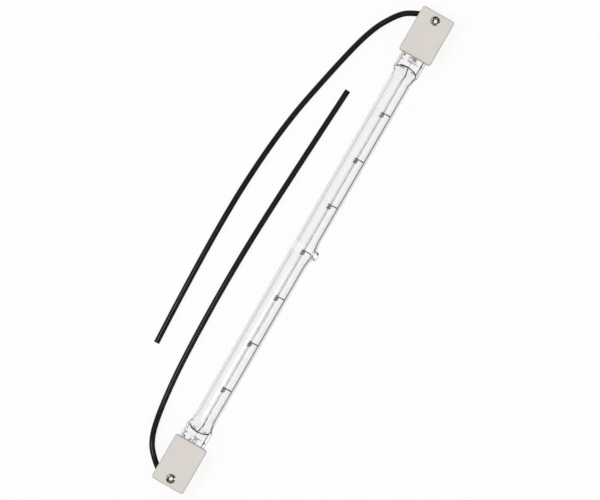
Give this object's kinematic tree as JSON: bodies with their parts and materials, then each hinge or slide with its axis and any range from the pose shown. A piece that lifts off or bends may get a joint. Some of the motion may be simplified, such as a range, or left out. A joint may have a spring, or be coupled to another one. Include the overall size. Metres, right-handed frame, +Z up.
{
  "type": "quartz heating tube",
  "caption": "Clear quartz heater tube with a coiled filament on wire supports, its flattened ends held in riveted ceramic blocks, each with an insulated lead.",
  "frame": {"origin": "middle of the lamp's length and width, level with the undersides of the ceramic blocks", "axes": "+X along the tube, +Y towards the side where the leads leave, +Z up"},
  "size_m": [0.2316, 0.0451, 0.0111],
  "materials": {
    "quartz_glass": "gloss",
    "tungsten": "satin",
    "molybdenum": "satin",
    "plated_steel": "satin",
    "plated_copper": "satin",
    "ceramic": "matte",
    "rivet_steel": "satin",
    "lead_insulation": "gloss"
  },
  "bodies": {
    "root": {"quartz_envelope": "quartz_glass", "filament": "tungsten", "filament_support_1": "tungsten", "filament_support_2": "tungsten", "filament_support_3": "tungsten", "filament_support_4": "tungsten", "filament_support_5": "tungsten", "filament_support_6": "tungsten", "filament_support_7": "tungsten", "inner_lead_left": "molybdenum", "foil_left": "molybdenum", "outer_lead_left": "molybdenum", "crimp_sleeve_left": "plated_steel", "conductor_left": "plated_copper", "base_lower_left": "ceramic", "base_upper_left": "ceramic", "rivet_left": "rivet_steel", "lead_left": "lead_insulation", "inner_lead_right": "molybdenum", "foil_right": "molybdenum", "outer_lead_right": "molybdenum", "crimp_sleeve_right": "plated_steel", "conductor_right": "plated_copper", "base_lower_right": "ceramic", "base_upper_right": "ceramic", "rivet_right": "rivet_steel", "lead_right": "lead_insulation"}
  },
  "joints": []
}
